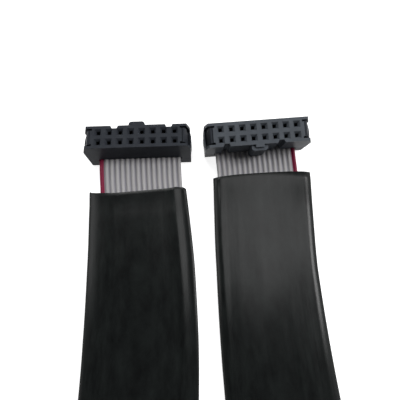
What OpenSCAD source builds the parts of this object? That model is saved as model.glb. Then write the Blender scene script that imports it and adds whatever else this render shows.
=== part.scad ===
// Sleeved 16-way flat ribbon cable with a 2 x 8 socket on each end.
// Both sockets lie on the table, end A flat and end B leaning on its front
// edge, with the mating faces up (+Z) and the ribbon leaving along -Y.
// The origin is the middle of end A's cover, on the table.

/* [Ribbon] */
// Distance between neighbouring wires
wire_pitch = 1.27; // [1:0.01:1.55]
// Diameter of one insulated wire, and so the ribbon's thickness
wire_dia = 0.9; // [0.7:0.05:1.1]

/* [Socket body] */
// Width of a socket, across its two rows
body_w = 5.75; // [5.5:0.05:7.2]
// Height of a socket with its cover, from the table to the mating face
socket_h = 9.6; // [8.8:0.1:12]
// Distance from the last pin column to the end recess
recess_from_pin = 1.76; // [1.6:0.02:2.1]
// Length of the mating face beyond each end of the core that holds the pins
face_end = 1.08; // [1:0.02:1.5]
// How far each end slopes out below the mating face
slope_out = 0.82; // [0.2:0.02:3]
// Height of the sloping part of each end
slope_h = 2.1; // [1:0.1:4]
// Side of the square pin holes
hole = 0.86; // [0.7:0.02:1.04]
// Side of the square funnel that leads into each hole
funnel = 1.65; // [1.2:0.05:1.8]
// Depth of the funnel
funnel_h = 0.65; // [0.4:0.05:0.9]
// Thickness of the wall under the mating face
face_wall = 1.2; // [1:0.05:1.6]
// Thickness of the side walls beside each end recess
side_wall = 0.65; // [0.45:0.05:0.8]
// Depth of the corner reliefs of each end recess
relief = 0.45; // [0.2:0.05:0.5]
// Height of the bowed strap that closes each end recess
strap_h = 3.4; // [2:0.1:4.2]
// Thickness of the strap
strap_t = 0.4; // [0.3:0.05:0.5]
// How far the strap bows out past the body's end
strap_bow = 0.25; // [0.1:0.05:0.7]

/* [Polarising key and notches] */
// Width of the key
key_w = 3.8; // [3:0.1:4.6]
// Radius of the key's outer corners
key_round = 0.75; // [0.2:0.05:0.75]
// Width of the rib that runs up from the key to the mating face
key_rib_w = 1.9; // [1.4:0.1:2.6]
// How far the key stands out of the wall
key_out = 1.3; // [0.7:0.05:1.6]
// How far the rib stands out of the wall
key_rib_out = 0.65; // [0.3:0.05:1]
// How far the key's wide part stays below the mating face
key_drop = 0.6; // [0.3:0.1:2]
// Width of the two notches at the wall
notch_w = 1.8; // [1.4:0.1:2.2]
// Width of the two notches at their floor
notch_floor_w = 1.1; // [0.6:0.1:1.3]
// Depth of the two notches
notch_depth = 0.7; // [0.4:0.05:0.75]

/* [Cover] */
// Height of the cover, from the table to the middle of the ribbon
cover_h = 3.15; // [2.4:0.05:3.6]
// Chamfer on the cover's lower edges
cover_chamfer = 0.35; // [0.1:0.05:0.5]
// Width of each latch arm
arm_w = 3.7; // [3:0.1:4]
// Thickness of each latch arm
arm_t = 1; // [0.7:0.05:1.1]
// Gap between a latch arm and the body's core
arm_gap = 0.12; // [0.05:0.01:0.2]
// How far the arm ends below the mating face
arm_drop = 0.15; // [0:0.05:0.6]

/* [Contacts] */
// Thickness of the contact's sheet metal
sheet = 0.2; // [0.15:0.01:0.25]
// Width of the two spring leaves
leaf_w = 1; // [0.7:0.05:1.1]
// Gap between the leaves where they grip the pin
grip_gap = 0.5; // [0.35:0.01:0.6]
// Width of the fork that straddles a wire
fork_w = 1; // [0.85:0.01:1.02]
// Width of the fork's slot
fork_slot = 0.28; // [0.2:0.01:0.35]
// Play round a contact in its cavity
play = 0.04; // [0.02:0.01:0.06]

/* [Sleeve] */
// Room across the sleeve beside the ribbon
sleeve_play = 2.78; // [1.6:0.02:4]
// Height of the flattened sleeve
sleeve_h = 3.4; // [2.6:0.1:4]
// Wall of the sleeve
sleeve_wall = 0.4; // [0.3:0.05:0.6]

/* [Layout] */
// Gap between the two sockets' ends
end_gap = 3.3; // [1.5:0.05:8]
// Distance of end B in front of or behind end A
b_y = 1.9; // [-2:0.1:3]
// How far end B is turned about the vertical, in degrees
b_turn = 2.7; // [0:0.1:4]
// How far end B leans forward on its front edge, in degrees
b_lean = 12.3; // [0:0.1:14]

/* [Hidden] */
// Pins and wires: two rows of columns, and one wire for each pin.
columns = 8;
pin_pitch = 2 * wire_pitch;
first_pin = -(columns - 1) / 2 * pin_pitch;
row_y = pin_pitch / 2;
ribbon_w = 2 * columns * wire_pitch;
ribbon_edge = 0.2;
wire_z = cover_h;
body_h = socket_h - cover_h;

// Cuts run this far past the face that they open, and joined shapes sink this
// far into each other.
past = 1;
root = 0.1;
// Room round what is clamped, and beside the ribbon in its channel.
slack = 0.02;
channel_room = 0.2;

core_l = 2 * (recess_from_pin - first_pin);
face_l = core_l + 2 * face_end;
body_l = face_l + 2 * slope_out;
b_x = body_l + end_gap;
recess_w = body_w - 2 * side_wall;

// Each contact: the spring's leaves stand on a bridge above the ribbon, start
// beside the pin hole and end under the face wall. The fork's tines reach
// through the ribbon into the cover.
leaf_foot = hole / 2 + 0.1;
leaf_bend = 0.6;
leaf_flare = 0.9;
leaf_drop = 0.8;
bridge_over_wire = 0.5;
bridge_z = wire_z + wire_dia / 2 + bridge_over_wire;
cavity_top = socket_h - face_wall;
cavity_x = leaf_w + 2 * play;
cavity_y = 2 * (leaf_foot + sheet + play);
leaf_top = cavity_top - leaf_drop;
fork_tip = wire_z - wire_dia / 2 - 0.8;
tine_point = 0.3;
pocket_room = 0.1;

// Each latch arm: its foot in the cover, its sloping tip, and the catch that
// sits over the strap.
arm_foot = 0.5;
arm_slope = 0.9;
catch_out = 0.35;
catch_slope = 0.9;
catch_play = 0.15;

// The sleeve is slack: the ribbon lies low in it and near the side where its
// first wire isn't. The sleeve's middle is this far from the ribbon's.
side_gap = 0.44;
floor_gap = 0.45;
sleeve_w = ribbon_w + sleeve_play + 2 * sleeve_wall;
sleeve_aside = sleeve_play / 2 - side_gap;
sleeve_above = (sleeve_h - wire_dia) / 2 - sleeve_wall - floor_gap;

// Middle of the ribbon from end A to end B: x, y, z and how far it is rolled
// from flat, in degrees, with the first wire going up. The ends follow the
// sockets: the ribbon is cut off short inside them, and leaves them straight.
// The points between are the lay of the cable: flat legs, each with a quarter
// twist, and a loop that stands on edge between them. In end B's half, x is
// measured from end B.
ribbon_trim = 0.3;
lead_out = 0.5;
lead_a = [
    [0, body_w / 2 - ribbon_trim, wire_z, 0],
    [0, -body_w / 2 - lead_out, wire_z, 0]
];
lay_a = [
    [0.05, -5.6, 2.85, 0],
    [0.12, -8.2, 2.25, 0],
    [0.25, -10.8, 1.75, 0],
    [0.55, -16, 1.35, 0],
    [1.3, -30, 1.35, 0],
    [1.5, -48, 1.35, 0],
    [0.9, -64, 1.5, 1],
    [0.3, -74, 2.55, 7],
    [0, -84, 5.15, 23],
    [0, -94, 8.05, 45],
    [0, -104, 10.3, 67],
    [0, -114, 11, 83],
    [0, -122, 11.05, 90],
    [1, -127.7, 11.05, 90],
    [3.9, -132.7, 11.05, 90],
    [8.3, -136.4, 11.05, 90],
    [13.7, -138.3, 11.05, 90]
];
lay_b = [
    [-8.9, -138.3, 11.05, 90],
    [-3.5, -136.4, 11.05, 90],
    [0.9, -132.7, 11.05, 90],
    [3.8, -127.7, 11.05, 90],
    [4.8, -122, 11.05, 90],
    [4.5, -114, 11, 83],
    [4, -104, 10.3, 67],
    [3.4, -94, 8.05, 45],
    [2.6, -84, 5.15, 23],
    [1.6, -74, 2.55, 7],
    [0.7, -64, 1.5, 1],
    [-0.1, -48, 1.35, 0],
    [-0.3, -30, 1.35, 0],
    [0.2, -16, 1.35, 0],
    [0.55, -8, 1.6, 0]
];
lead_b = [
    concat(at_b([0, -body_w / 2 - lead_out, wire_z]), 0),
    concat(at_b([0, body_w / 2 - ribbon_trim, wire_z]), 0)
];
route = concat(lead_a, lay_a, [for (p = lay_b) p + [b_x, 0, 0, 0]], lead_b);
// The sleeve begins and ends at these points of the route.
sleeve_first = 4;
sleeve_last = len(route) - 3;

// ---- places ----

// A point of end B, given as if that socket stood upright at the origin.
function lean(p) = [
    p[0],
    -body_w / 2 + (p[1] + body_w / 2) * cos(b_lean) - p[2] * sin(b_lean),
    (p[1] + body_w / 2) * sin(b_lean) + p[2] * cos(b_lean)
];
function turn(p) = [
    p[0] * cos(b_turn) - p[1] * sin(b_turn),
    p[0] * sin(b_turn) + p[1] * cos(b_turn),
    p[2]
];
function at_b(p) = [b_x, b_y, 0] + turn(lean(p));

module place_b() {
    translate([b_x, b_y, 0])
        rotate([0, 0, b_turn])
            translate([0, -body_w / 2, 0])
                rotate([b_lean, 0, 0])
                    translate([0, body_w / 2, 0])
                        children();
}

// Odd contacts stand in the row on the key's side, even ones in the other.
function odd(n) = n % 2 == 1;
function pin_x(n) = first_pin + floor((n - 1) / 2) * pin_pitch;
function pin_y(n) = odd(n) ? row_y : -row_y;
function fork_x(n) = pin_x(n) + (odd(n) ? -1 : 1) * wire_pitch / 2;

// ---- socket body ----

module along_y(length) {
    rotate([90, 0, 0])
        linear_extrude(length, center = true)
            children();
}

module along_x(length) {
    rotate([90, 0, 90])
        linear_extrude(length, center = true)
            children();
}

module body_block() {
    along_y(body_w)
        polygon([
            [-body_l / 2, cover_h],
            [body_l / 2, cover_h],
            [body_l / 2, socket_h - slope_h],
            [face_l / 2, socket_h],
            [-face_l / 2, socket_h],
            [-body_l / 2, socket_h - slope_h]
        ]);
}

// Room for a latch arm at the +X end, with reliefs in its inner corners.
module end_recess() {
    reach = (body_l - core_l) / 2 + past;
    relief_w = (recess_w - arm_w) / 2 + root;
    translate([core_l / 2, -recess_w / 2, cover_h - past])
        cube([reach, recess_w, body_h + 2 * past]);
    for (side = [-1, 1])
        translate([
            core_l / 2 - relief,
            side * (recess_w - relief_w) / 2 - relief_w / 2,
            cover_h - past
        ])
            cube([relief + root, relief_w, body_h + 2 * past]);
}

// Bowed strap across the +X end recess: an arc between the two side walls.
module end_strap() {
    half = recess_w / 2;
    bow_r = (half * half + strap_bow * strap_bow) / (2 * strap_bow);
    reach = half + 2 * root;
    translate([body_l / 2 + strap_bow - bow_r, 0, cover_h])
        linear_extrude(strap_h)
            intersection() {
                difference() {
                    circle(bow_r, $fn = 96);
                    circle(bow_r - strap_t, $fn = 96);
                }
                translate([0, -reach])
                    square([bow_r + past, 2 * reach]);
            }
}

module key() {
    half = key_w / 2;
    rib_half = key_rib_w / 2;
    translate([0, body_w / 2, cover_h])
        linear_extrude(body_h - key_drop)
            union() {
                translate([-half, -root])
                    square([key_w, root + key_out - key_round]);
                translate([key_round - half, -root])
                    square([key_w - 2 * key_round, root + key_out]);
                for (side = [-1, 1])
                    translate([side * (half - key_round), key_out - key_round])
                        circle(key_round, $fn = 32);
            }
    translate([-rib_half, body_w / 2 - root, cover_h])
        cube([key_rib_w, key_rib_out + root, body_h]);
}

module notch() {
    translate([0, body_w / 2, cover_h - past])
        linear_extrude(body_h + 2 * past)
            polygon([
                [-notch_floor_w / 2, -notch_depth],
                [notch_floor_w / 2, -notch_depth],
                [notch_w / 2, 0],
                [notch_w / 2, past],
                [-notch_w / 2, past],
                [-notch_w / 2, 0]
            ]);
}

// Funnel, pin hole, spring cavity and fork slot of contact n.
module pin_way(n) {
    fork_slot_w = fork_w + 2 * play;
    fork_slot_t = sheet + 2 * play;
    translate([pin_x(n), pin_y(n), 0]) {
        translate([0, 0, socket_h])
            intersection() {
                along_x(funnel + past)
                    funnel_outline();
                along_y(funnel + past)
                    funnel_outline();
            }
        translate([-hole / 2, -hole / 2, cavity_top - root])
            cube([hole, hole, face_wall + root]);
        translate([-cavity_x / 2, -cavity_y / 2, bridge_z - slack])
            cube([cavity_x, cavity_y, cavity_top - bridge_z + slack]);
    }
    translate([fork_x(n) - fork_slot_w / 2, pin_y(n) - fork_slot_t / 2, wire_z])
        cube([fork_slot_w, fork_slot_t, bridge_z + sheet + play - wire_z]);
}

module funnel_outline() {
    spread = (funnel - hole) / 2 / funnel_h * past;
    polygon([
        [-hole / 2, -funnel_h],
        [hole / 2, -funnel_h],
        [funnel / 2 + spread, past],
        [-funnel / 2 - spread, past]
    ]);
}

// The flat channel that the ribbon lies in, half of it in each moulding.
module ribbon_channel() {
    width = ribbon_w + channel_room;
    height = wire_dia + 2 * slack;
    translate([-width / 2, -body_w, wire_z - height / 2])
        cube([width, 2 * body_w, height]);
}

module socket_body() {
    color("#34383c")
        difference() {
            union() {
                difference() {
                    body_block();
                    for (end = [0, 1])
                        mirror([end, 0, 0])
                            end_recess();
                }
                for (end = [0, 1])
                    mirror([end, 0, 0])
                        end_strap();
                key();
            }
            translate([-2 * pin_pitch, 0, 0])
                notch();
            translate([3 * pin_pitch, 0, 0])
                notch();
            ribbon_channel();
            for (n = [1 : 2 * columns])
                pin_way(n);
        }
}

// ---- cover ----

module cover_outline(length) {
    half = length / 2;
    polygon([
        [-half + cover_chamfer, 0],
        [half - cover_chamfer, 0],
        [half, cover_chamfer],
        [half, cover_h],
        [-half, cover_h],
        [-half, cover_chamfer]
    ]);
}

// Latch arm at the +X end, with a sloping tip and a catch on its outer side.
module latch_arm() {
    inner = core_l / 2 + arm_gap;
    outer = inner + arm_t;
    tip = socket_h - arm_drop;
    foot = cover_h - arm_foot;
    catch_z = cover_h + strap_h + catch_play;
    along_y(arm_w)
        polygon([
            [inner, foot],
            [outer, foot],
            [outer, catch_z],
            [outer + catch_out, catch_z],
            [outer, catch_z + catch_slope],
            [outer, tip - arm_slope],
            [outer - arm_t / 2, tip],
            [inner, tip]
        ]);
}

// Pocket in the cover under the tips of contact n's fork.
module fork_pocket(n) {
    pocket_w = fork_w + 2 * pocket_room;
    pocket_t = sheet + 2 * pocket_room;
    translate([
        fork_x(n) - pocket_w / 2,
        pin_y(n) - pocket_t / 2,
        fork_tip - pocket_room
    ])
        cube([pocket_w, pocket_t, cover_h]);
}

module socket_cover() {
    color("#2c2f33")
        difference() {
            union() {
                intersection() {
                    along_y(body_w)
                        cover_outline(body_l);
                    along_x(body_l)
                        cover_outline(body_w);
                }
                for (end = [0, 1])
                    mirror([end, 0, 0])
                        latch_arm();
            }
            ribbon_channel();
            for (n = [1 : 2 * columns])
                fork_pocket(n);
        }
}

// ---- contacts ----

// Half of the spring, as seen along X: foot, leaf, grip and flared mouth.
module leaf_outline() {
    grip = grip_gap / 2;
    grip_z = leaf_top - leaf_flare;
    bend_z = bridge_z + leaf_bend;
    mouth = grip + 0.7 * sheet;
    polygon([
        [0, bridge_z],
        [leaf_foot + sheet, bridge_z],
        [leaf_foot + sheet, bend_z],
        [grip + sheet, grip_z],
        [mouth + sheet, leaf_top],
        [mouth, leaf_top],
        [grip, grip_z],
        [leaf_foot, bend_z],
        [leaf_foot, bridge_z + sheet],
        [0, bridge_z + sheet]
    ]);
}

// Fork on the wire's side: two pointed tines with a slot between them.
module fork_outline() {
    half = fork_w / 2;
    slot = fork_slot / 2;
    middle = (half + slot) / 2;
    slot_top = wire_z + wire_dia / 2 + 0.1;
    shoulder = fork_tip + tine_point;
    polygon([
        [-half, shoulder],
        [-middle, fork_tip],
        [-slot, shoulder],
        [-slot, slot_top],
        [slot, slot_top],
        [slot, shoulder],
        [middle, fork_tip],
        [half, shoulder],
        [half, bridge_z + sheet],
        [-half, bridge_z + sheet]
    ]);
}

module contact(n) {
    color("#c8a24a") {
        translate([pin_x(n), pin_y(n), 0])
            along_x(leaf_w) {
                leaf_outline();
                mirror([1, 0])
                    leaf_outline();
            }
        translate([fork_x(n), pin_y(n), 0])
            along_y(sheet)
                fork_outline();
    }
}

// ---- ribbon and sleeve ----

function unit(v) = v / norm(v);
function flat(lists) = [for (list = lists) each list];

// A smooth curve's point halfway between points i and i + 1 of the route.
function halfway(i) =
    (9 * (route[i] + route[i + 1]) - route[i - 1] - route[i + 2]) / 16;

// The route with such a point in each stretch outside the sockets. Point i of
// the route, from 1 on, is point 2 * i - 1 here.
line = concat(
    [route[0]],
    flat([for (i = [1 : len(route) - 3]) [route[i], halfway(i)]]),
    [route[len(route) - 2], route[len(route) - 1]]
);
function middle_at(i) = [line[i][0], line[i][1], line[i][2]];
function heading_at(i) = unit(
    middle_at(min(i + 1, len(line) - 1)) - middle_at(max(i - 1, 0))
);

// The points of a section placed across the line at its point i.
function ring(i, section) =
    let (
        ahead = heading_at(i),
        across = unit(cross(ahead, [0, 0, 1])),
        above = cross(across, ahead),
        roll = line[i][3],
        broad = cos(roll) * across + sin(roll) * above,
        thin = cos(roll) * above - sin(roll) * across
    )
    [for (p = section) middle_at(i) + p[0] * broad + p[1] * thin];

// Two triangles for each side of a tube whose rings have n points. A twisted
// side is split along the same diagonal above and below the ribbon's middle,
// so both faces bow the same way.
function halves(p) = [[p[0], p[1], p[2]], [p[0], p[2], p[3]]];
function skin(rings, n, from, way) = flat([
    for (j = [0 : rings - 2], k = [0 : n - 1])
        let (
            a = from + j * n + k,
            b = from + j * n + (k + 1) % n,
            c = b + n,
            d = a + n,
            p = k < n / 2 ? [a, b, c, d] : [b, c, d, a]
        )
        halves(way > 0 ? p : [p[0], p[3], p[2], p[1]])
]);

// Flat section with cut corners: twelve points round a middle that lies aside
// and above from the ribbon's. Two points on each face split its width.
function flat_section(w, h, corner, aside, above) =
    let (
        x = w / 2,
        y = h / 2,
        third = ribbon_w / 6,
        upper = [
            [aside + x, y - corner], [aside + x - corner, y],
            [third, y], [-third, y],
            [aside - x + corner, y], [aside - x, y - corner]
        ]
    )
    concat(
        [for (p = upper) [p[0], above + p[1]]],
        [for (i = [5 : -1 : 0]) [upper[i][0], above - upper[i][1]]]
    );
function ribbon_section() =
    flat_section(ribbon_w, wire_dia, ribbon_edge, 0, 0);
function sleeve_section(inset) =
    let (h = sleeve_h - 2 * inset)
    flat_section(sleeve_w - 2 * inset, h, 0.3 * h, sleeve_aside, sleeve_above);

module ribbon_strip() {
    section = ribbon_section();
    n = len(section);
    rings = len(line);
    points = flat([for (i = [0 : rings - 1]) ring(i, section)]);
    last = (rings - 1) * n;
    polyhedron(
        points,
        concat(
            skin(rings, n, 0, 1),
            [[for (k = [n - 1 : -1 : 0]) k]],
            [[for (k = [0 : n - 1]) last + k]]
        )
    );
}

// The two slits that the tines of contact n's fork cut in the ribbon.
module fork_slits(n) {
    tine = (fork_w - fork_slot) / 2 + 2 * slack;
    middle = (fork_w + fork_slot) / 4;
    depth = sheet + 2 * slack;
    for (side = [-1, 1])
        translate([
            fork_x(n) + side * middle - tine / 2,
            pin_y(n) - depth / 2,
            wire_z - wire_dia
        ])
            cube([tine, depth, 2 * wire_dia]);
}

module ribbon() {
    color("#a9a7a8")
        difference() {
            ribbon_strip();
            for (n = [1 : 2 * columns])
                fork_slits(n);
            place_b()
                rotate([0, 0, 180])
                    for (n = [1 : 2 * columns])
                        fork_slits(n);
        }
}

module sleeve() {
    outer = sleeve_section(0);
    inner = sleeve_section(sleeve_wall);
    n = len(outer);
    first = 2 * sleeve_first - 1;
    final = 2 * sleeve_last - 1;
    span = [first : final];
    rings = final - first + 1;
    outside = flat([for (i = span) ring(i, outer)]);
    inside = flat([for (i = span) ring(i, inner)]);
    bore = rings * n;
    last = (rings - 1) * n;
    mouths = flat([
        for (k = [0 : n - 1])
            let (m = (k + 1) % n)
            [
                [k, bore + k, bore + m],
                [k, bore + m, m],
                [last + k, last + m, bore + last + m],
                [last + k, bore + last + m, bore + last + k]
            ]
    ]);
    color("#26282a")
        polyhedron(
            concat(outside, inside),
            concat(skin(rings, n, 0, 1), skin(rings, n, bore, -1), mouths)
        );
}

// ---- the parts ----

module socket_contact_b(n) {
    place_b()
        rotate([0, 0, 180])
            contact(n);
}

socket_body();  // body_a
socket_cover();  // cover_a
for (n = [1 : 2 * columns])
    contact(n);

ribbon();
sleeve();

place_b()  // body_b
        rotate([0, 0, 180])
            socket_body();
place_b()  // cover_b
        rotate([0, 0, 180])
            socket_cover();
for (n = [1 : 2 * columns])
    socket_contact_b(n);
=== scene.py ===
import math

import bpy
import numpy as np
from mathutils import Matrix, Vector


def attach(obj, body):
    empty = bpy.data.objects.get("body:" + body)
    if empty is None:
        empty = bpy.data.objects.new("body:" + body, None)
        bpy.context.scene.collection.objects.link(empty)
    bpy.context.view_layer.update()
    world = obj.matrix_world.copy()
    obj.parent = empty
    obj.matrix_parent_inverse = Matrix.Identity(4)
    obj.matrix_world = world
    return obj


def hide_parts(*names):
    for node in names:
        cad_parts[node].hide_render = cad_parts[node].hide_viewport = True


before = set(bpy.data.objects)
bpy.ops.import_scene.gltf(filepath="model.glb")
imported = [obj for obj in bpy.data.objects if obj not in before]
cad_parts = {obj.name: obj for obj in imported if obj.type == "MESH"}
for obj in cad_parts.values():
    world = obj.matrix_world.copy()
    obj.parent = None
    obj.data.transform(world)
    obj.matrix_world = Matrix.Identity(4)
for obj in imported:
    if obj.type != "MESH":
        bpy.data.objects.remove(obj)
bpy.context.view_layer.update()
print("frame loaded,", len(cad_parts), "nodes")

# The camera looks down on both ends, a little from the front.
view = {
    "place": (0.0134, -0.03705, 0.07552),
    "turnDegrees": (17.676, -0.092, -2.087),
    "lens": 28.8,
    "near": 0.001,  # nothing closer to the lens is seen
}

# Middle of the ribbon from end A to end B: x, y, z in metres and the roll in
# degrees, where 0 lies flat and 90 stands on edge.
cable = {
    "route": [
        (0, 0.002575, 0.00315, 0), (0, -0.003375, 0.00315, 0),
        (0.00005, -0.0056, 0.00285, 0), (0.00012, -0.0082, 0.00225, 0),
        (0.00025, -0.0108, 0.00175, 0), (0.00055, -0.016, 0.00135, 0),
        (0.0013, -0.03, 0.00135, 0), (0.0015, -0.048, 0.00135, 0),
        (0.0009, -0.064, 0.0015, 1), (0.0003, -0.074, 0.00255, 7),
        (0, -0.084, 0.00515, 23), (0, -0.094, 0.00805, 45),
        (0, -0.104, 0.0103, 67), (0, -0.114, 0.011, 83),
        (0, -0.122, 0.01105, 90), (0.001, -0.1277, 0.01105, 90),
        (0.0039, -0.1327, 0.01105, 90), (0.0083, -0.1364, 0.01105, 90),
        (0.0137, -0.1383, 0.01105, 90), (0.0195, -0.1383, 0.01105, 90),
        (0.0249, -0.1364, 0.01105, 90), (0.0293, -0.1327, 0.01105, 90),
        (0.0322, -0.1277, 0.01105, 90), (0.0332, -0.122, 0.01105, 90),
        (0.0329, -0.114, 0.011, 83), (0.0324, -0.104, 0.0103, 67),
        (0.0318, -0.094, 0.00805, 45), (0.031, -0.084, 0.00515, 23),
        (0.03, -0.074, 0.00255, 7), (0.0291, -0.064, 0.0015, 1),
        (0.0283, -0.048, 0.00135, 0), (0.0281, -0.03, 0.00135, 0),
        (0.0286, -0.016, 0.00135, 0), (0.02895, -0.008, 0.0016, 0),
        (0.02859, -0.00213, 0.002971, 0), (0.028316, 0.003677, 0.004239, 0),
    ],
    "step": 0.0013,  # between the points of the smooth line
    "mouthA": 4,  # the sleeve begins at this point of the route
    "mouthB": 33,  # and ends at this one
    "length": 0.305,
    "exit": (0, -0.002875, 0.00315),
}

ribbon = {
    "wires": 16,
    "pitch": 0.00127,
    "wireRadius": 0.00045,
    "web": 0.00032,  # how thick the web between two wires is
    "width": 0.0203,
    # the points over each wire, as shares of the way from its middle to the web
    "arch": (1, 0.88, 0.62, 0.32, 0, -0.32, -0.62, -0.88, -1),
    "webMiddle": 0.9,  # how thick a web's middle is, as a share of its sides
    "edge": 0.5,  # and the strip's two outer edges
}


def addCamera():
    bpy.ops.object.camera_add(
        location=view["place"],
        rotation=[math.radians(a) for a in view["turnDegrees"]],
    )
    camera = bpy.context.object
    camera.name = "camera"
    camera.data.lens = view["lens"]
    camera.data.clip_start = view["near"]
    bpy.context.scene.camera = camera


addCamera()
print("camera placed")


# A smooth line through all points of the route, with a point about every step,
# and the number of the line's point at each point of the route.
def smoothLine(route, step):
    route = np.array(route, float)
    ends = np.vstack([route[:1], route, route[-1:]])
    line = []
    marks = []
    for i in range(len(route) - 1):
        a, b, c, d = ends[i : i + 4]
        marks.append(len(line))
        count = max(2, round(np.linalg.norm(c[:3] - b[:3]) / step))
        for k in range(count):
            t = k / count
            line.append(
                0.5 * (2 * b + (c - a) * t + (2 * a - 5 * b + 4 * c - d) * t**2
                       + (3 * b - a - 3 * c + d) * t**3)
            )
    marks.append(len(line))
    line.append(route[-1])
    return np.array(line), marks


# For each point of the line: its place, the directions along the cable, across
# the ribbon towards the first wire and out of the ribbon's face, and how far
# along it lies.
def framesAlong(line):
    middle = line[:, :3]
    ahead = np.gradient(middle, axis=0)
    ahead /= np.linalg.norm(ahead, axis=1)[:, None]
    across = np.cross(ahead, (0, 0, 1))
    across /= np.linalg.norm(across, axis=1)[:, None]
    above = np.cross(across, ahead)
    roll = np.radians(line[:, 3])[:, None]
    broad = np.cos(roll) * across + np.sin(roll) * above
    thin = np.cos(roll) * above - np.sin(roll) * across
    steps = np.linalg.norm(np.diff(middle, axis=0), axis=1)
    along = np.concatenate([[0], np.cumsum(steps)])
    return {"middle": middle, "ahead": ahead, "broad": broad, "thin": thin, "along": along}


cableLine, cableMarks = smoothLine(cable["route"], cable["step"])
cableFrames = framesAlong(cableLine)
print("cable line:", len(cableLine), "points,", round(cableFrames["along"][-1], 4), "m")


# The points of a section, or of one section for each frame, put along the cable.
def sweep(frames, sections):
    return (
        frames["middle"][:, None]
        + sections[..., 0, None] * frames["broad"][:, None]
        + sections[..., 1, None] * frames["thin"][:, None]
    )


# A tube from a grid of points: rings along the cable, each with its points in
# order round the section. The UV map holds around and along, and caps are the
# four points of each face that closes an end.
def tube(name, grid, around, along, caps=()):
    rings, count = grid.shape[:2]
    faces = []
    corners = []
    for j in range(rings - 1):
        here, there = j * count, (j + 1) * count
        for k in range(count):
            m = (k + 1) % count
            faces.append((here + k, there + k, there + m, here + m))
            right = around[k + 1]
            corners += [
                (around[k], along[j]), (around[k], along[j + 1]),
                (right, along[j + 1]), (right, along[j]),
            ]
    last = (rings - 1) * count
    for cap in caps:
        faces.append(cap)
        faces.append([last + k for k in reversed(cap)])
        corners += [(around[k], along[0]) for k in cap]
        corners += [(around[k], along[-1]) for k in reversed(cap)]
    mesh = bpy.data.meshes.new(name)
    mesh.from_pydata(grid.reshape(-1, 3).tolist(), [], faces)
    layer = mesh.uv_layers.new(name="lay")
    layer.data.foreach_set("uv", np.array(corners, np.float32).ravel())
    mesh.update()
    piece = bpy.data.objects.new(name, mesh)
    bpy.context.scene.collection.objects.link(piece)
    return piece


def selectOnly(piece):
    bpy.ops.object.select_all(action="DESELECT")
    piece.select_set(True)
    bpy.context.view_layer.objects.active = piece


def facesOut(piece):
    selectOnly(piece)
    bpy.ops.object.mode_set(mode="EDIT")
    bpy.ops.mesh.select_all(action="SELECT")
    bpy.ops.mesh.normals_make_consistent(inside=False)
    bpy.ops.object.mode_set(mode="OBJECT")


# Rounds the edges whose faces turn by more than sharp, in degrees.
def roundEdges(piece, width, segments, sharp):
    bevel = piece.modifiers.new("edges", "BEVEL")
    bevel.width = width
    bevel.segments = segments
    bevel.limit_method = "ANGLE"
    bevel.angle_limit = math.radians(sharp)


def applyAll(piece):
    selectOnly(piece)
    for modifier in list(piece.modifiers):
        bpy.ops.object.modifier_apply(modifier=modifier.name)


# Upper half of the ribbon's section: a round top for each wire with a thin web
# between, from the first wire's edge to the last one's.
def ribbonOutline():
    pitch = ribbon["pitch"]
    radius = ribbon["wireRadius"]
    web = ribbon["web"] / 2
    foot = math.sqrt(radius**2 - web**2)
    half = ribbon["wires"] / 2 - 0.5
    points = []
    for i in range(ribbon["wires"]):
        centre = (half - i) * pitch
        for part in ribbon["arch"]:
            aside = part * foot
            points.append((centre + aside, math.sqrt(radius**2 - aside**2)))
        if i < ribbon["wires"] - 1:
            points.append((centre - pitch / 2, ribbon["webMiddle"] * web))
    rim = half * pitch + radius
    edge = ribbon["edge"] * web
    return [(rim, edge)] + points + [(-rim, edge)]


def makeRibbon():
    upper = ribbonOutline()
    count = len(upper)
    section = np.array(upper + [(x, -z) for x, z in reversed(upper)])
    # u counts the wires from the first one's outer edge
    wire = (ribbon["wires"] / 2) - section[:, 0] / ribbon["pitch"]
    caps = [(k, k + 1, 2 * count - 2 - k, 2 * count - 1 - k) for k in range(count - 1)]
    grid = sweep(cableFrames, section)
    piece = tube("ribbonStrip", grid, [*wire, wire[0]], cableFrames["along"], caps)
    facesOut(piece)
    piece.data.shade_smooth()
    return piece


ribbonStrip = makeRibbon()
print("ribbon made,", len(ribbonStrip.data.polygons), "faces")

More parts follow.
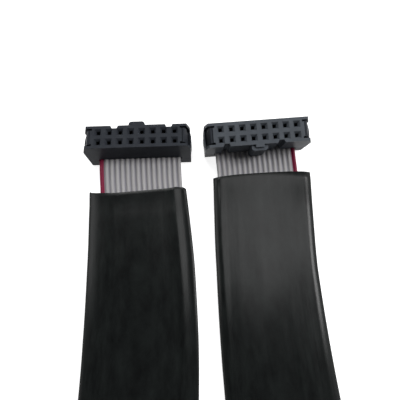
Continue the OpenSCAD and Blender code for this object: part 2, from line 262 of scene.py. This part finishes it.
# The sleeve: a slack flat tube with a soft fold at each side. Each row is a
# section: how far along its length it is (0 is mouth A, 1 mouth B), half its
# width, its underside from the ribbon's middle, its height at the crown, the
# height of its folds' edges, then how square its shoulder is and how far the
# fold swells, on the first wire's side and on the other, where the middle of the
# swelling is, as a share of the half width, and how far the other side's outer
# edge stands up.
sleeve = {
    "wall": 0.0004,
    "rim": (0.00008, 2, 60),  # rounding of the cut edges: width, segments, degrees
    "aside": 0.00093,  # from the ribbon's middle towards the first wire
    "sections": [
        (0.0, 0.0118, -0.00152, 0.00242, 0.0012, 3.0, 0, 12.0, 0.00016, 0.74, 0.0001),
        (0.022, 0.012, -0.0013, 0.0023, 0.0011, 3.0, 0, 16.0, 0.0002, 0.735, 0.00012),
        (0.044, 0.01215, -0.0013, 0.0022, 0.0011, 3.0, 0, 16.0, 0.0002, 0.735, 0.00012),
        (0.066, 0.0123, -0.0013, 0.0022, 0.0011, 3.0, 0, 14.0, 0.0002, 0.735, 0.00012),
        (0.12, 0.0124, -0.0013, 0.0022, 0.0011, 3.2, 0, 8.0, 0.00014, 0.76, 0.00006),
        (0.2, 0.0122, -0.0013, 0.0025, 0.0012, 3.0, 0, 3.4, 0.00008, 0.84, 0),
        (0.3, 0.0119, -0.0013, 0.003, 0.0015, 2.4, 0, 2.4, 0, 0.875, 0),
        (0.7, 0.0119, -0.0013, 0.003, 0.0015, 2.4, 0, 2.4, 0, 0.875, 0),
        (0.8, 0.0117, -0.0013, 0.0026, 0.0014, 3.4, 0.00006, 3.4, 0.00008, 0.875, 0),
        (0.92, 0.01153, -0.0013, 0.0024, 0.0012, 5.0, 0.00012, 6.0, 0.00016, 0.875, 0),
        (0.95, 0.01175, -0.0013, 0.0024, 0.0012, 5.0, 0.00012, 6.0, 0.00016, 0.875, 0),
        (0.975, 0.0119, -0.0013, 0.0025, 0.0012, 5.0, 0.00012, 6.0, 0.00016, 0.875, 0),
        (1.0, 0.0121, -0.00146, 0.00276, 0.0013, 4.0, 0.00008, 5.0, 0.00012, 0.875, 0),
    ],
    "points": 56,  # round each half of a section
    "gather": 0.8,  # below 1, more of them lie near the folds
    "flatUnder": 1.25,  # above 1, more of the underside lies flat
    "foldWidth": 0.08,
    "lipAt": 0.97,
    "lipWidth": 0.05,
    # how far each mouth's cut runs towards end B, from the last wire's fold (-1)
    # to the first one's (1)
    "mouthA": [
        (-1, 0.0007), (-0.985, 0.0004), (-0.96, 0.00018), (-0.92, 0.00003),
        (-0.88, 0), (-0.8, -0.00016), (-0.6, 0), (0.45, 0), (0.67, -0.00022),
        (0.85, -0.00042), (0.95, -0.0006), (1, -0.00088),
    ],
    "mouthB": [
        (-1, -0.00014), (-0.82, 0.00017), (-0.57, 0.00044), (-0.2, 0.00063),
        (0.18, 0.00073), (0.55, 0.00077), (0.8, 0.0007), (1, 0.00051),
    ],
    "mouthFade": 0.02,  # how far along the sleeve a cut still moves its points
}


# A rounded hump, 1 at its middle, for a place given as a share of the half width.
def hump(x, middle, width):
    return math.exp(-(((abs(x) - middle) / width) ** 2))


def sleeveSection(at):
    rows = np.array(sleeve["sections"])
    half, under, crown, edge, *sides, foldAt, lip = (
        np.interp(at, rows[:, 0], column) for column in rows.T[1:]
    )
    points = []
    for k in range(2 * sleeve["points"]):
        angle = math.pi * k / sleeve["points"]
        c, s = math.cos(angle), math.sin(angle)
        square, swell = sides[:2] if c >= 0 else sides[2:]
        x = math.copysign(abs(c) ** sleeve["gather"], c)
        bulge = (1 - abs(x) ** square) ** (1 / square)
        if s >= 0:
            z = edge + (crown - edge) * bulge + swell * hump(x, foldAt, sleeve["foldWidth"])
            if c < 0:
                z += lip * hump(x, sleeve["lipAt"], sleeve["lipWidth"])
        else:
            z = edge * (1 - min(1, sleeve["flatUnder"] * bulge))
        points.append((sleeve["aside"] + half * x, under + z))
    return points


# How far each point of a section moves along the cable, so that the mouth that
# is fromMouth away has its cut.
def mouthCut(mouth, across, fromMouth):
    rows = np.array(sleeve[mouth])
    fade = np.clip(1 - fromMouth / sleeve["mouthFade"], 0, 1) ** 2
    return fade[:, None] * np.interp(across, rows[:, 0], rows[:, 1])


def makeSleeve():
    first, last = cableMarks[cable["mouthA"]], cableMarks[cable["mouthB"]]
    frames = {key: value[first : last + 1] for key, value in cableFrames.items()}
    along = frames["along"] - frames["along"][0]
    sections = np.array([sleeveSection(at) for at in along / along[-1]])
    half = (sections[:, :, 0].max(axis=1) - sleeve["aside"])[:, None]
    across = (sections[:, :, 0] - sleeve["aside"]) / half
    cut = mouthCut("mouthA", across, along) + mouthCut("mouthB", across, along[-1] - along)
    grid = sweep(frames, sections) + cut[:, :, None] * frames["ahead"][:, None]
    count = grid.shape[1]
    piece = tube("sleeveTube", grid, [k / count for k in range(count + 1)], along)
    wall = piece.modifiers.new("wall", "SOLIDIFY")
    wall.thickness = sleeve["wall"]
    wall.offset = -1
    wall.use_even_offset = True
    roundEdges(piece, *sleeve["rim"])
    applyAll(piece)
    facesOut(piece)
    piece.data.shade_smooth()
    return piece


sleeveTube = makeSleeve()
print("sleeve made,", len(sleeveTube.data.polygons), "faces")

# The sockets are mouldings: a copy of each CAD part gets rounded edges.
moulding = {
    "weld": 0.000001,
    "flat": 1,  # degrees between faces, up to which they become one
    "edge": (0.00006, 2, 25),  # rounding of the edges: width, segments, degrees
    "smooth": 50,  # degrees between faces, past which an edge is shaded sharp
    "flatWeight": 100,  # how much the large faces rule the shading, 50 is even
}


def mouldedCopy(node, name):
    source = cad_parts[node]
    piece = bpy.data.objects.new(name, source.data.copy())
    bpy.context.scene.collection.objects.link(piece)
    selectOnly(piece)
    bpy.ops.object.mode_set(mode="EDIT")
    bpy.ops.mesh.select_all(action="SELECT")
    bpy.ops.mesh.remove_doubles(threshold=moulding["weld"])
    bpy.ops.mesh.dissolve_limited(angle_limit=math.radians(moulding["flat"]))
    bpy.ops.object.mode_set(mode="OBJECT")
    roundEdges(piece, *moulding["edge"])
    applyAll(piece)
    bpy.ops.object.shade_smooth_by_angle(angle=math.radians(moulding["smooth"]))
    flats = piece.modifiers.new("flats", "WEIGHTED_NORMAL")
    flats.keep_sharp = True
    flats.weight = moulding["flatWeight"]
    applyAll(piece)
    piece.data.materials.clear()
    return piece


mouldings = {}
for end in "ab":
    mouldings["body_" + end] = mouldedCopy("body_" + end, "socketBody" + end.upper())
    mouldings["cover_" + end] = mouldedCopy("cover_" + end, "socketCover" + end.upper())
print("sockets made,", {n: len(p.data.polygons) for n, p in mouldings.items()})


def newMaterial(name):
    material = bpy.data.materials.new(name)
    material.use_nodes = True
    tree = material.node_tree
    return material, tree, tree.nodes["Principled BSDF"]


def objectPlace(tree):
    return tree.nodes.new("ShaderNodeTexCoord").outputs["Object"]


def layMap(tree):
    lay = tree.nodes.new("ShaderNodeUVMap")
    lay.uv_map = "lay"
    return lay.outputs["UV"]


def addNoise(tree, place, scale, detail, roughness):
    noise = tree.nodes.new("ShaderNodeTexNoise")
    noise.inputs["Scale"].default_value = scale
    noise.inputs["Detail"].default_value = detail
    noise.inputs["Roughness"].default_value = roughness
    tree.links.new(place, noise.inputs["Vector"])
    return noise.outputs["Fac"]


# A noise with one scale across the cable and another along it.
def addStreaks(tree, lay, scales, detail, roughness):
    stretch = tree.nodes.new("ShaderNodeMapping")
    stretch.inputs["Scale"].default_value = (*scales, 1)
    tree.links.new(lay, stretch.inputs["Vector"])
    return addNoise(tree, stretch.outputs["Vector"], 1, detail, roughness)


# Most of a noise lies between these two values.
noiseSpan = (0.3, 0.7)


# Two colours mixed by a noise.
def mottled(tree, noise, low, high):
    ramp = tree.nodes.new("ShaderNodeValToRGB")
    for stop, place, colour in zip(ramp.color_ramp.elements, noiseSpan, (low, high)):
        stop.position = place
        stop.color = (*colour, 1)
    tree.links.new(noise, ramp.inputs["Fac"])
    return ramp.outputs["Color"]


# A value whose span becomes low to high.
def remapped(tree, value, low, high, span=noiseSpan, kind="LINEAR"):
    node = tree.nodes.new("ShaderNodeMapRange")
    node.interpolation_type = kind
    node.inputs["From Min"].default_value = span[0]
    node.inputs["From Max"].default_value = span[1]
    node.inputs["To Min"].default_value = low
    node.inputs["To Max"].default_value = high
    tree.links.new(value, node.inputs["Value"])
    return node.outputs["Result"]


# A plain colour laid over the colour below, as strongly as the factor says.
def layered(tree, factor, below, above, blend="MIX"):
    node = tree.nodes.new("ShaderNodeMix")
    node.data_type = "RGBA"
    node.blend_type = blend
    node.inputs["B"].default_value = (*above, 1)
    tree.links.new(factor, node.inputs["Factor"])
    tree.links.new(below, node.inputs["A"])
    return node.outputs["Result"]


# One Math node on two values, the second of which may be a plain number.
def reckoned(tree, operation, first, second):
    node = tree.nodes.new("ShaderNodeMath")
    node.operation = operation
    tree.links.new(first, node.inputs[0])
    if isinstance(second, (int, float)):
        node.inputs[1].default_value = second
    else:
        tree.links.new(second, node.inputs[1])
    return node.outputs["Value"]


def bumped(tree, shader, height, strength, distance):
    bump = tree.nodes.new("ShaderNodeBump")
    bump.inputs["Strength"].default_value = strength
    bump.inputs["Distance"].default_value = distance
    tree.links.new(height, bump.inputs["Height"])
    tree.links.new(bump.outputs["Normal"], shader.inputs["Normal"])


# In the finishes below, a noise is its scale or scales, its detail and its
# roughness, and a bump is its strength and its height in metres.
socketPlastic = {
    "gloss": 0.05,
    # The two socket bodies are one plastic; end B's colours are painted lighter, painted
    # light for the brighter face it shows
    "bodyA": ((0.031, 0.0345, 0.043), (0.042, 0.047, 0.056)),
    "bodyLitB": ((0.078, 0.087, 0.100), (0.100, 0.112, 0.128)),
    "cover": ((0.026, 0.029, 0.036), (0.035, 0.039, 0.047)),
    "clouds": (420, 4, 0.6),
    "roughness": (0.36, 0.5),
    "grain": (9000, 3, 0.5),  # the mould's fine texture
    "grainBump": (0.35, 0.00002),
}


def makeSocketPlastic(name, colours):
    material, tree, shader = newMaterial(name)
    shader.inputs["Specular IOR Level"].default_value = socketPlastic["gloss"]
    place = objectPlace(tree)
    clouds = addNoise(tree, place, *socketPlastic["clouds"])
    grain = addNoise(tree, place, *socketPlastic["grain"])
    tree.links.new(mottled(tree, clouds, *colours), shader.inputs["Base Color"])
    rough = remapped(tree, grain, *socketPlastic["roughness"])
    tree.links.new(rough, shader.inputs["Roughness"])
    bumped(tree, shader, grain, *socketPlastic["grainBump"])
    return material


ribbonPvc = {
    "gloss": 0.25,
    "greyDark": (0.40, 0.39, 0.395),
    "greyLight": (0.50, 0.49, 0.495),
    "red": (0.215, 0.003, 0.038),
    "redEdge": 0.97,  # the first wire's share of the width, in wires
    "grooveShade": (0.5, 0.5, 0.56),  # painted shade on the webs between the wires
    "grooveShadeHalf": 0.32,  # half the width of the painted groove shade, in wires
    "streaks": ((1.4, 60), 5, 0.65),
    "roughness": (0.42, 0.56),
}


def makeRibbonPvc():
    material, tree, shader = newMaterial("ribbonPvc")
    shader.inputs["Specular IOR Level"].default_value = ribbonPvc["gloss"]
    lay = layMap(tree)
    split = tree.nodes.new("ShaderNodeSeparateXYZ")
    tree.links.new(lay, split.inputs["Vector"])
    wire = split.outputs["X"]
    streaks = addStreaks(tree, lay, *ribbonPvc["streaks"])
    grey = mottled(tree, streaks, ribbonPvc["greyDark"], ribbonPvc["greyLight"])
    # wire is a whole number in the middle of each web
    fromWeb = reckoned(tree, "PINGPONG", wire, 0.5)
    # the webs are darkened towards their middle: painted shade between the wires
    grooveShade = remapped(tree, fromWeb, 1, 0, (0, ribbonPvc["grooveShadeHalf"]), "SMOOTHSTEP")
    shaded = layered(tree, grooveShade, grey, ribbonPvc["grooveShade"], "MULTIPLY")
    first = reckoned(tree, "LESS_THAN", wire, ribbonPvc["redEdge"])
    colour = layered(tree, first, shaded, ribbonPvc["red"])
    tree.links.new(colour, shader.inputs["Base Color"])
    rough = remapped(tree, streaks, *ribbonPvc["roughness"])
    tree.links.new(rough, shader.inputs["Roughness"])
    return material


sleevePvc = {
    "gloss": 0.2,
    "dark": (0.0055, 0.0062, 0.0064),
    "light": (0.0135, 0.0160, 0.0156),
    "clouds": ((34, 170), 5, 0.65),
    "roughness": (0.19, 0.27),
    "streaks": ((60, 25), 4, 0.6),
    "streakBump": (0.25, 0.00003),
}


def makeSleevePvc():
    material, tree, shader = newMaterial("sleevePvc")
    shader.inputs["Specular IOR Level"].default_value = sleevePvc["gloss"]
    lay = layMap(tree)
    streaks = addStreaks(tree, lay, *sleevePvc["streaks"])
    clouds = addStreaks(tree, lay, *sleevePvc["clouds"])
    black = mottled(tree, clouds, sleevePvc["dark"], sleevePvc["light"])
    tree.links.new(black, shader.inputs["Base Color"])
    rough = remapped(tree, streaks, *sleevePvc["roughness"])
    tree.links.new(rough, shader.inputs["Roughness"])
    bumped(tree, shader, streaks, *sleevePvc["streakBump"])
    return material


contactMetal = {
    "dark": (0.36, 0.31, 0.24),
    "light": (0.46, 0.41, 0.33),
    "rolled": (2500, 2, 0.5),
    "roughness": (0.22, 0.34),
}


def makeContactMetal():
    material, tree, shader = newMaterial("contactMetal")
    shader.inputs["Metallic"].default_value = 1
    rolled = addNoise(tree, objectPlace(tree), *contactMetal["rolled"])
    metal = mottled(tree, rolled, contactMetal["dark"], contactMetal["light"])
    tree.links.new(metal, shader.inputs["Base Color"])
    rough = remapped(tree, rolled, *contactMetal["roughness"])
    tree.links.new(rough, shader.inputs["Roughness"])
    return material


coverPlastic = makeSocketPlastic("coverPlastic", socketPlastic["cover"])
plastics = {
    "body_a": makeSocketPlastic("bodyPlasticA", socketPlastic["bodyA"]),
    # end B gets the lighter copy of the body plastic: painted light
    "body_b": makeSocketPlastic("bodyPlasticLitB", socketPlastic["bodyLitB"]),
    "cover_a": coverPlastic,
    "cover_b": coverPlastic,
}
for node, piece in mouldings.items():
    piece.data.materials.append(plastics[node])
ribbonStrip.data.materials.append(makeRibbonPvc())
sleeveTube.data.materials.append(makeSleevePvc())
contactFinish = makeContactMetal()
for name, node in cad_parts.items():
    if name.startswith("contact"):
        node.data.materials.clear()
        node.data.materials.append(contactFinish)
print("materials made")

# A pale floor that curves up into a low round backdrop, under soft lamps. The
# lamps' strength is their radiance, where 1 shows as white.
studio = {
    "floorRadius": 1.4,
    "floorSides": 96,
    "floorDrop": 0.00005,  # under the height at which the cable lies
    "coveRadius": 0.8,
    "coveSteps": 8,
    "backdropTop": 1.8,
    "colour": (0.8, 0.8, 0.8),
    "white": 0.85,  # what the eye and reflections see, besides the lamps' light
    "sky": 0.05,
    "target": (0.014, -0.012, 0),
    "lamps": [  # name, place, size, strength
        ("leftLamp", (-0.295, 0.056, 0.320), 0.17, 2.6),
        ("rightLamp", (0.303, 0.012, 0.344), 0.16, 12.5),
        ("roofLamp", (0.114, 0.064, 0.432), 0.17, 3.6),
        ("backLamp", (-0.074, 0.209, 0.382), 0.15, 6.0),
    ],
}


# The rim of a disc is extruded up in a quarter circle, then straight up.
def addBackdrop():
    bpy.ops.object.select_all(action="DESELECT")
    radius = studio["floorRadius"]
    bpy.ops.mesh.primitive_circle_add(
        vertices=studio["floorSides"],
        radius=radius,
        fill_type="NGON",
        location=(0, 0, -studio["floorDrop"]),
    )
    floor = bpy.context.object
    floor.name = "floor"
    cove = studio["coveRadius"]
    steps = studio["coveSteps"]
    profile = [
        (radius + cove * math.sin(a), cove * (1 - math.cos(a)))
        for a in (math.pi / 2 * k / steps for k in range(1, steps + 1))
    ]
    profile.append((radius + cove, studio["backdropTop"]))
    bpy.ops.object.mode_set(mode="EDIT")
    bpy.ops.mesh.select_mode(type="EDGE")
    bpy.ops.mesh.select_all(action="SELECT")
    lastRadius, lastHeight = radius, 0
    for ringRadius, height in profile:
        bpy.ops.mesh.extrude_edges_move(
            TRANSFORM_OT_translate={"value": (0, 0, height - lastHeight)}
        )
        grow = ringRadius / lastRadius
        bpy.ops.transform.resize(value=(grow, grow, 1))
        lastRadius, lastHeight = ringRadius, height
    bpy.ops.object.mode_set(mode="OBJECT")
    floor.data.shade_smooth()
    floor.data.materials.append(makeBackdropPaint())


# Matt paint that looks white to the camera, in reflections and through glass,
# and still takes the shadow.
def makeBackdropPaint():
    material = bpy.data.materials.new("backdropPaint")
    material.use_nodes = True
    tree = material.node_tree
    tree.nodes.clear()
    out = tree.nodes.new("ShaderNodeOutputMaterial")
    paint = tree.nodes.new("ShaderNodeBsdfDiffuse")
    paint.inputs["Color"].default_value = (*studio["colour"], 1)
    rays = tree.nodes.new("ShaderNodeLightPath").outputs
    seen = reckoned(tree, "MAXIMUM", rays["Is Camera Ray"], rays["Is Glossy Ray"])
    seen = reckoned(tree, "MAXIMUM", seen, rays["Is Transmission Ray"])
    glow = tree.nodes.new("ShaderNodeEmission")
    strength = reckoned(tree, "MULTIPLY", seen, studio["white"])
    tree.links.new(strength, glow.inputs["Strength"])
    both = tree.nodes.new("ShaderNodeAddShader")
    tree.links.new(paint.outputs["BSDF"], both.inputs[0])
    tree.links.new(glow.outputs["Emission"], both.inputs[1])
    tree.links.new(both.outputs["Shader"], out.inputs["Surface"])
    return material


def addLamp(name, place, size, strength):
    bpy.ops.object.light_add(type="AREA", location=place)
    lamp = bpy.context.object
    lamp.name = name
    lamp.data.shape = "SQUARE"
    lamp.data.size = size
    lamp.data.energy = strength * math.pi * size**2
    aim = Vector(studio["target"]) - Vector(place)
    lamp.rotation_euler = aim.to_track_quat("-Z", "Y").to_euler()


def addSky():
    world = bpy.data.worlds.new("sky")
    world.use_nodes = True
    bpy.context.scene.world = world
    background = world.node_tree.nodes["Background"]
    background.inputs["Color"].default_value = (1, 1, 1, 1)
    background.inputs["Strength"].default_value = studio["sky"]


addBackdrop()
for lamp in studio["lamps"]:
    addLamp(*lamp)
addSky()
bpy.context.scene.view_settings.view_transform = "Standard"
print("studio made")

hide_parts("ribbon")
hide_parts("sleeve")
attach(ribbonStrip, "root")
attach(sleeveTube, "root")
for node, piece in mouldings.items():
    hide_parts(node)
    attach(piece, "root")
